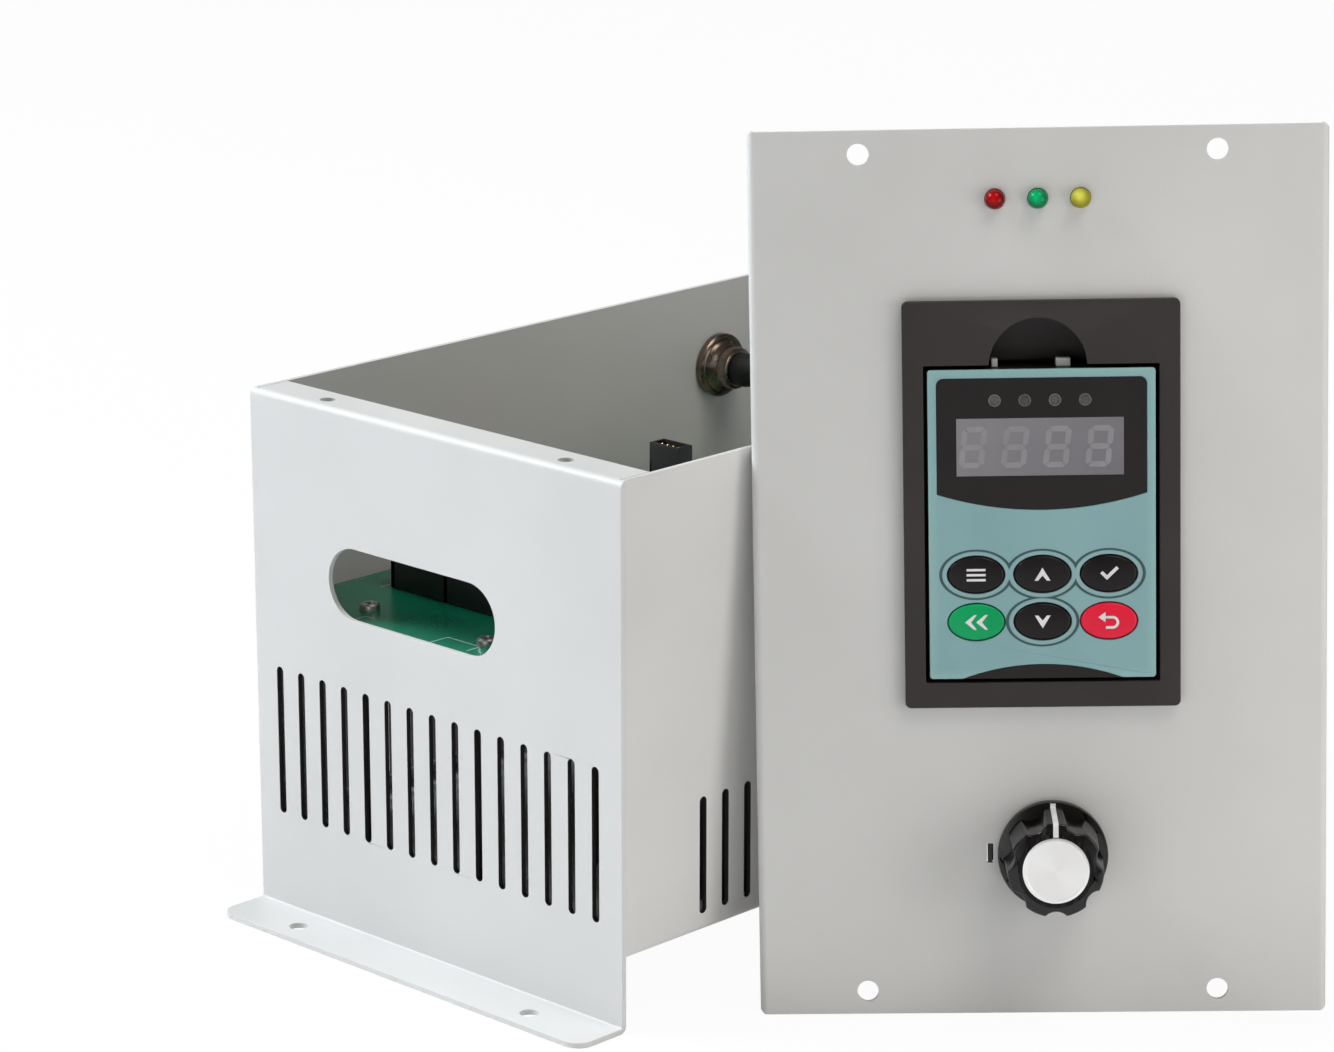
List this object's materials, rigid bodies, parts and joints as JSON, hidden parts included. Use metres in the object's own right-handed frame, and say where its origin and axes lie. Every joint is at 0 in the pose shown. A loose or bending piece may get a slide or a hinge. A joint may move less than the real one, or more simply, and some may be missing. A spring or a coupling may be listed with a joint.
{
  "type": "induction heating machine",
  "caption": "Wall-mounting induction heater controller shown opened: louvred sheet metal box with its electronics, and the front cover with keypad, lamps and knob leaning on it.",
  "frame": {"origin": "centre of the four wall-mounting holes of the box, on the plane that its two flanges sit on", "axes": "+Z from the mounting plane towards the open front of the box, +Y along the box from the end with the cable window to the end with the fan, +X across the box towards the wall that the removed cover leans on"},
  "size_m": [0.2764, 0.26, 0.231],
  "materials": {
    "powder_coat": "light grey fine powder coat, satin",
    "zinc_steel": "zinc plated steel, satin",
    "sink_aluminium": "extruded aluminium, as drawn",
    "polished_aluminium": "turned aluminium, bright",
    "black_plastic": "moulded black plastic, matt",
    "bezel_plastic": "moulded dark brown-black plastic, fine texture",
    "knob_plastic": "moulded black plastic, glossy",
    "module_plastic": "filled epoxy casing, matt",
    "laminate": "green solder mask on glass laminate, glossy",
    "cap_sleeve": "dark blue shrink sleeve, glossy",
    "choke_case": "potting case, amber plastic",
    "transformer_tape": "yellow polyester tape over ferrite",
    "brass": "turned brass",
    "nickel_brass": "nickel plated brass, slightly bronzed",
    "white_plastic": "moulded off-white plastic",
    "rubber_black": "black elastomer",
    "red_lens": "tinted red epoxy lens, unlit",
    "green_lens": "tinted green epoxy lens, unlit",
    "yellow_lens": "tinted yellow epoxy lens, unlit",
    "teal_plastic": "moulded teal plastic, satin",
    "panel_black": "printed black foil, satin",
    "display_filter": "grey display filter, unlit segments behind",
    "lamp_clear": "clear epoxy, unlit",
    "key_black": "moulded black key",
    "key_green": "moulded green key",
    "key_red": "moulded red key",
    "pointer_white": "white printed line"
  },
  "bodies": {
    "chassis": {"tray": "powder_coat", "front_end_plate": "powder_coat", "rear_end_plate": "powder_coat", "heatsink": "sink_aluminium", "heatsink_screws": "zinc_steel", "igbt_module": "module_plastic", "rectifier_bridge": "black_plastic", "module_screws": "zinc_steel", "power_board": "laminate", "board_pillars": "black_plastic", "board_screws": "zinc_steel", "bus_capacitors": "cap_sleeve", "filter_choke": "choke_case", "supply_transformer": "transformer_tape", "terminal_block": "black_plastic", "terminal_screws": "zinc_steel", "control_board": "laminate", "control_header": "black_plastic", "resonant_capacitor": "module_plastic", "fan_frame": "black_plastic", "fan_bearing": "brass", "fan_screws": "zinc_steel", "socket_shell": "nickel_brass", "socket_nut": "nickel_brass", "socket_insert": "black_plastic", "socket_boot": "rubber_black", "socket_lead": "rubber_black", "lead_plug": "white_plastic", "earth_screw": "brass"},
    "fan": {"fan_rotor": "black_plastic"},
    "cover": {"front_cover": "powder_coat", "keypad_holder": "bezel_plastic", "led_red": "red_lens", "led_green": "green_lens", "led_yellow": "yellow_lens", "led_clips": "black_plastic", "pot_body": "zinc_steel", "pot_nut": "zinc_steel"},
    "knob": {"pot_shaft": "polished_aluminium", "knob": "knob_plastic", "knob_cap": "polished_aluminium", "knob_pointer": "pointer_white", "knob_set_screw": "zinc_steel"},
    "keypad": {"keypad_shell": "black_plastic", "keypad_face": "teal_plastic", "display_surround": "panel_black", "display_window": "display_filter", "display_module": "white_plastic", "indicator_lamps": "lamp_clear", "keypad_board": "laminate", "key_switches": "zinc_steel", "keypad_plug": "black_plastic", "keypad_latches": "zinc_steel"},
    "menu_key": {"key_menu": "key_black"},
    "up_key": {"key_up": "key_black"},
    "confirm_key": {"key_confirm": "key_black"},
    "shift_key": {"key_shift": "key_green"},
    "down_key": {"key_down": "key_black"},
    "stop_key": {"key_stop": "key_red"}
  },
  "joints": [
    {"name": "fan_spin", "type": "hinge", "parent": "chassis", "child": "fan", "pos_m": [0, 0.1, 0.0525], "axis": [0, -1, 0], "continuous": true},
    {"name": "cover_lift", "type": "slide", "parent": "chassis", "child": "cover", "axis": [-0.0933, 0.0686, 0.9933], "range_m": [0, 0.15]},
    {"name": "knob_turn", "type": "hinge", "parent": "cover", "child": "knob", "pos_m": [0.14327, -0.03101, 0.04508], "axis": [0.6584, -0.7441, 0.1132], "range_deg": [-150, 150]},
    {"name": "keypad_pull", "type": "slide", "parent": "cover", "child": "keypad", "axis": [0.6584, -0.7441, 0.1132], "range_m": [0, 0.025]},
    {"name": "menu_press", "type": "slide", "parent": "keypad", "child": "menu_key", "axis": [-0.6584, 0.7441, -0.1132], "range_m": [0, 0.0008], "stiffness_N_per_m": 600},
    {"name": "up_press", "type": "slide", "parent": "keypad", "child": "up_key", "axis": [-0.6584, 0.7441, -0.1132], "range_m": [0, 0.0008], "stiffness_N_per_m": 600},
    {"name": "confirm_press", "type": "slide", "parent": "keypad", "child": "confirm_key", "axis": [-0.6584, 0.7441, -0.1132], "range_m": [0, 0.0008], "stiffness_N_per_m": 600},
    {"name": "shift_press", "type": "slide", "parent": "keypad", "child": "shift_key", "axis": [-0.6584, 0.7441, -0.1132], "range_m": [0, 0.0008], "stiffness_N_per_m": 600},
    {"name": "down_press", "type": "slide", "parent": "keypad", "child": "down_key", "axis": [-0.6584, 0.7441, -0.1132], "range_m": [0, 0.0008], "stiffness_N_per_m": 600},
    {"name": "stop_press", "type": "slide", "parent": "keypad", "child": "stop_key", "axis": [-0.6584, 0.7441, -0.1132], "range_m": [0, 0.0008], "stiffness_N_per_m": 600}
  ]
}
